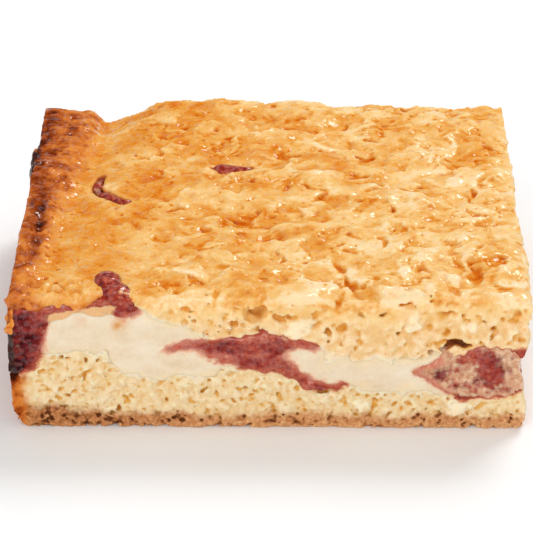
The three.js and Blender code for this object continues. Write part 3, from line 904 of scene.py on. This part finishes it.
def jam_colour(s):
    """Clear dark jam, redder on the crust with painted highlights, with lumps of pale pulp."""
    # relief adds painted light on crests; the ramp's pale pink end is partly paler jam and partly painted
    # reflection
    cloud = s.total(0.5, (s.noise(2.4, 4, 0.6, (0.5, 1, 1)), 1.5), (s.noise(0.7, 3), 0.7),
                    ("dark", -0.36), ("raised", 0.06))
    colour = s.ramp(cloud, (48, 6, 12), (110, 28, 28), (154, 58, 48), (188, 98, 76), (212, 152, 128))
    # on the crust the jam is redder, with painted highlights at the pale end of this ramp
    redder_with_highlights = s.ramp(s.total(0.45, (s.noise(0.9, 3), 2.4)), (92, 8, 4), (142, 34, 20), (176, 72, 48),
                   (210, 130, 104))
    colour = s.mix("bright", colour, redder_with_highlights)
    lumps = s.total(0.0, ("crumbly", 1.0), (s.noise(1.8, 4), 1.6), (s.noise(8.0), 1.6), ("raised", 0.12))
    pulp = s.ramp(s.total(0.5, (s.noise(0.8, 3), 2.0)), (186, 124, 94), (216, 170, 134), (236, 206, 170))
    return s.mix(s.rescale(lumps, 0.4, 0.9), colour, pulp)


def blend_jam(s, colour):
    """Colours the jam where it thins out on cake and cream."""
    ragged = s.noise(0.8, 3)
    cake = s.frayed("near_cake", ragged, 0.8, 0.3, 1.1)
    cake = s.math("MULTIPLY", cake, s.rescale("crumbly", 0.2, 0.7, 0.7, 0.2))
    colour = s.mix(cake, colour, linear(180, 80, 56))
    cream = s.frayed("near_cream", ragged, 0.8, 0.2, 1.1)
    colour = s.mix(s.math("MULTIPLY", cream, 0.8), colour, linear(204, 112, 88))
    peach = s.frayed("peach", s.noise(1.3, 3), 1.2, 0.3, 0.7, 0.85)
    return s.mix(peach, colour, linear(238, 190, 134))


def burn_jam(s, colour):
    """Colours the jam on the tin side: browned, burnt, and golden on the crumb that stuck in it."""
    colour = bake_brown(s, colour, 0.2, 0.6)
    burnt = s.frayed("burnt", s.noise(2.6, 4), 1.4, 0.3, 0.6)
    char = s.ramp(s.total(0.5, (s.noise(1.0, 3), 1.5)), (22, 12, 12), (56, 28, 22), (98, 60, 50))
    colour = s.mix(burnt, colour, char)
    crumb = s.ramp(s.total(0.5, (s.noise(0.7, 3), 2.0)), (186, 92, 24), (224, 138, 50), (240, 176, 92))
    return s.mix(s.rescale("tint", 0.8, 1.4), colour, crumb)


def jam_material():
    s = Shading("berry_jam")
    colour = burn_jam(s, blend_jam(s, jam_colour(s)))
    s.set(Base_Color=colour, Roughness=s.rescale(s.noise(0.6), -0.2, 0.2, 0.2, 0.5))
    s.soften(0.2, (1.0, 0.15, 0.1), 1.0)
    gloss = s.rescale(s.noise(0.8), -0.05, 0.08, 0.0, 1.0)
    gloss = s.math("MULTIPLY", gloss, s.rescale("brown", 0.0, 0.5, 1.0, 0.0))
    s.set(Specular_IOR_Level=0.05, Coat_Weight=gloss, Coat_Roughness=0.08)
    s.bump(s.noise(0.8), 0.5, 0.9)
    return s.material


# What the points of a mesh carry for the materials

def leaked(points):
    """1 on the tin side where jam leaked out and burnt, fading to 0 round about."""
    x, y, z = points.T
    corner = fade(-36, -28, y) * rise(6, 10, z) * fade(17, 20, z)
    middle = bell((y, LEAK["y"], LEAK["wide"]), (z, LEAK["z"], LEAK["high"]))
    return np.maximum(corner, middle) * fade(0.2, 1.0, from_tin(x))


def pale_arm(points):
    """1 where the jam under the front of the crust is thin and pale, 0 elsewhere."""
    x, y, z = points.T
    under_crust = CRUST_EDGE["z"] + CRUST_EDGE["rise"] * (x - CRUST_EDGE["x"]) - z
    along = rise(-37, -33, x) * fade(-26, -23, x) * rise(15.5, 17, z)
    return along * fade(0, 6, y + HALF_DEPTH) * rise(0.6, 1.5, under_crust)


def closeness(points, layers, reach):
    """1 at the surface of the nearest of these layers, fading over reach."""
    distance = np.min([layer.sample(layer.extent, points) for layer in layers], axis=0)
    gap = np.clip(distance - CLOSING, 0, None)
    least = math.exp((CLOSING - MARGIN) / reach)  # what is left where the volumes know no distance
    return np.clip((np.exp(-gap / reach) - least) / (1 - least), 0, 1)


def give_relief(piece, points, volume):
    """Gives each point its height above the smoothed surface, for painted shade and light, and its tint;
    returns the smoothed values.
    """
    fine = blurred(volume.values, 0.45 / volume.step)
    raised = evened(volume.sample(fine, points, 0.0) - CLOSING)
    give(piece, raised=raised, tint=volume.sample(volume.tint, points, 0.0))
    return fine


def evened(values):
    """values in units of their spread, without the farthest ones."""
    return np.clip(values / (values.std() + 1e-6), -3, 1.5)


def dress_top_cake(piece, points, cake, heights, jams, creams):
    x, y, z = points.T
    depth = height_at(cake, heights, x, y) - z
    thickness = 2.8 + 2.4 * fade(-30, -22, x)
    crust = fade(0.2, 1.0, depth / thickness)
    # the broader relief gives painted shade in wide hollows and painted light on wide swells
    broad = blurred(give_relief(piece, points, cake), 1.4 / cake.step)
    tin = fade(0.3, 2.2, from_tin(x))
    rim = 0.95 * fade(-6, 3, x - rim_line(y))
    # the crust is coloured darker along the groove in the rim
    groove = 0.6 * bell((x, GROOVE_X, 1.3), (y, -14, 12))
    edge = 0.4 * fade(1.0, 4.0, from_tin(x)) * rise(-10, 15, y) * rise(15, 21, z)
    ring = 0.7 * closeness(points, jams, 0.6) * crust
    front = fade(-38, -15, y) * rise(-30, -15, x)
    stained = closeness(points, jams, 0.7) * (1 - 0.9 * crust) * rise(0.3, 2.0, from_tin(x))
    give(
        piece,
        broad=evened(cake.sample(broad, points, 0.0) - CLOSING),
        crust=crust,
        gold=fade(1.0, 6.0, depth),
        brown=np.maximum(tin, rim) + groove + edge + ring + LEAK_DARK * leaked(points),
        pale=0.2 * rise(-28, 28, x) + 0.12 * front - 0.1,
        specked=bell((x, -9, 5), (z, 16.9, 1.6)),
        near_jam=np.maximum(stained, 0.28 * crumbly_corner(x, y)),
        near_cream=closeness(points, creams, 1.5),
    )


def dress_base_cake(piece, points, cake, jams, creams):
    x, y, z = points.T
    crust_line = 2.6 + 1.2 * fade(-41, -15, x)
    give_relief(piece, points, cake)
    give(
        piece,
        toast=fade(crust_line - 2.2, crust_line + 1.8, z),
        dark=fade(-41, 5, x),
        brown=fade(0, 4.6, from_tin(x)) + LEAK_DARK * leaked(points),
        near_jam=closeness(points, jams, 1.0) * rise(0.3, 2.0, from_tin(x)),
        near_cream=closeness(points, creams, 0.8),
    )


def dress_jam(piece, points, node, jam, creams, cakes):
    x, y, z = points.T
    tin = fade(0.2, 1.0, from_tin(x))
    clear = bell((x, RED_PATCH["x"], RED_PATCH["wide"]), (z, RED_PATCH["z"], RED_PATCH["high"]))
    burnt = leaked(points)
    on_crust = float(node in DROPS)
    give_relief(piece, points, jam)
    give(
        piece,
        dark=np.maximum(fade(-41, -33, x), 0.55 * on_crust),
        crumbly=CRUMBLY.get(node, 0.0) * (1 - clear),
        bright=np.maximum(rise(21.5, 22.8, z), on_crust),
        peach=pale_arm(points),
        brown=tin - burnt,
        burnt=burnt,
        near_cream=closeness(points, creams, 0.6),
        near_cake=closeness(points, cakes, 0.5) * fade(21.0, 22.0, z),
    )


def dress_cream(piece, points, jams, cakes):
    x, y, z = points.T
    stains = [bell((x, across, size), (z, up, size)) for across, up, size in AMBER_SPOTS]
    give(
        piece,
        amber=fade(1, 3, y + HALF_DEPTH) * np.max(stains, axis=0),
        near_jam=closeness(points, jams, 0.8) * (1 - 0.9 * pale_arm(points)),
        near_cake=closeness(points, cakes, 0.9),
    )


def make_cake():
    jams = [make_filling(node, step, 60 + 5 * n, ROUGHNESS["jam"])
            for n, (node, step) in enumerate(JAMS.items())]
    burn_on(jams[0])
    creams = [make_filling(node, FILLING_STEP, 90 + 5 * n, ROUGHNESS["cream"])
              for n, node in enumerate(CREAMS)]
    top, heights = make_top_cake(jams)
    base = make_base_cake()
    piece, points = make_piece("top_cake_crust", top, "top_cake", "crust", top_cake_material())
    dress_top_cake(piece, points, top, heights, jams, creams)
    piece, points = make_piece("base_cake_crumb", base, "base_cake", "crumb", base_cake_material())
    dress_base_cake(piece, points, base, jams, creams)
    look = jam_material()
    for node, jam in zip(JAMS, jams):
        piece, points = make_piece(node + "_gloss", jam, node, "jam", look)
        dress_jam(piece, points, node, jam, creams, [top, base])
    look = cream_material()
    for node, cream in zip(CREAMS, creams):
        piece, points = make_piece(node + "_smooth", cream, node, "cream", look)
        dress_cream(piece, points, jams, [top, base])


# Floor, light and camera, in metres

FLOOR = {"reach": 3.0, "colour": (0.93, 0.93, 0.93, 1), "roughness": 0.9}
SKY = {"colour": (1, 1, 1, 1), "strength": 0.58}
LAMPS = {"key": ((0.3, 0.5, 0.65), 0.35, 3.7), "fill": ((-0.2, -0.95, 0.55), 0.8, 5.6)}  # place, size, power
CAMERA = {"place": (0.00366, -0.46475, 0.22658), "tilt": 65.052, "turn": 0.563, "lens": 203.88, "sensor": 36,
          "near": 0.01}  # at the photo's viewing angle


def make_floor():
    reach = FLOOR["reach"]
    mesh = bpy.data.meshes.new("floor")
    corners = [(-reach, -reach, 0), (reach, -reach, 0), (reach, reach, 0), (-reach, reach, 0)]
    mesh.from_pydata(corners, [], [(0, 1, 2, 3)])
    floor = add("floor", mesh)
    look = Shading("pale_floor")
    look.set(Base_Color=FLOOR["colour"], Roughness=FLOOR["roughness"])
    mesh.materials.append(look.material)


def make_light():
    world = bpy.data.worlds.new("studio")
    world.use_nodes = True
    background = world.node_tree.nodes["Background"]
    background.inputs["Color"].default_value = SKY["colour"]
    background.inputs["Strength"].default_value = SKY["strength"]
    bpy.context.scene.world = world
    for name, lamp in LAMPS.items():
        add_lamp(name, *lamp)


def add_lamp(name, place, size, power):
    """A square lamp aimed at the cake."""
    lamp = bpy.data.lights.new(name, "AREA")
    lamp.size = size
    lamp.energy = power
    holder = add(name, lamp)
    holder.location = place
    x, y, z = place
    holder.rotation_euler = (math.atan2(math.hypot(x, y), z), 0, math.atan2(-y, -x) - math.pi / 2)


def make_camera():
    camera = bpy.data.cameras.new("camera")
    camera.sensor_width = CAMERA["sensor"]
    camera.lens = CAMERA["lens"]
    camera.clip_start = CAMERA["near"]
    holder = add("camera", camera)
    holder.location = CAMERA["place"]
    holder.rotation_euler = (math.radians(CAMERA["tilt"]), 0, math.radians(CAMERA["turn"]))
    bpy.context.scene.camera = holder


make_cake()
make_floor()
make_light()
make_camera()
bpy.context.scene.view_settings.view_transform = "Standard"
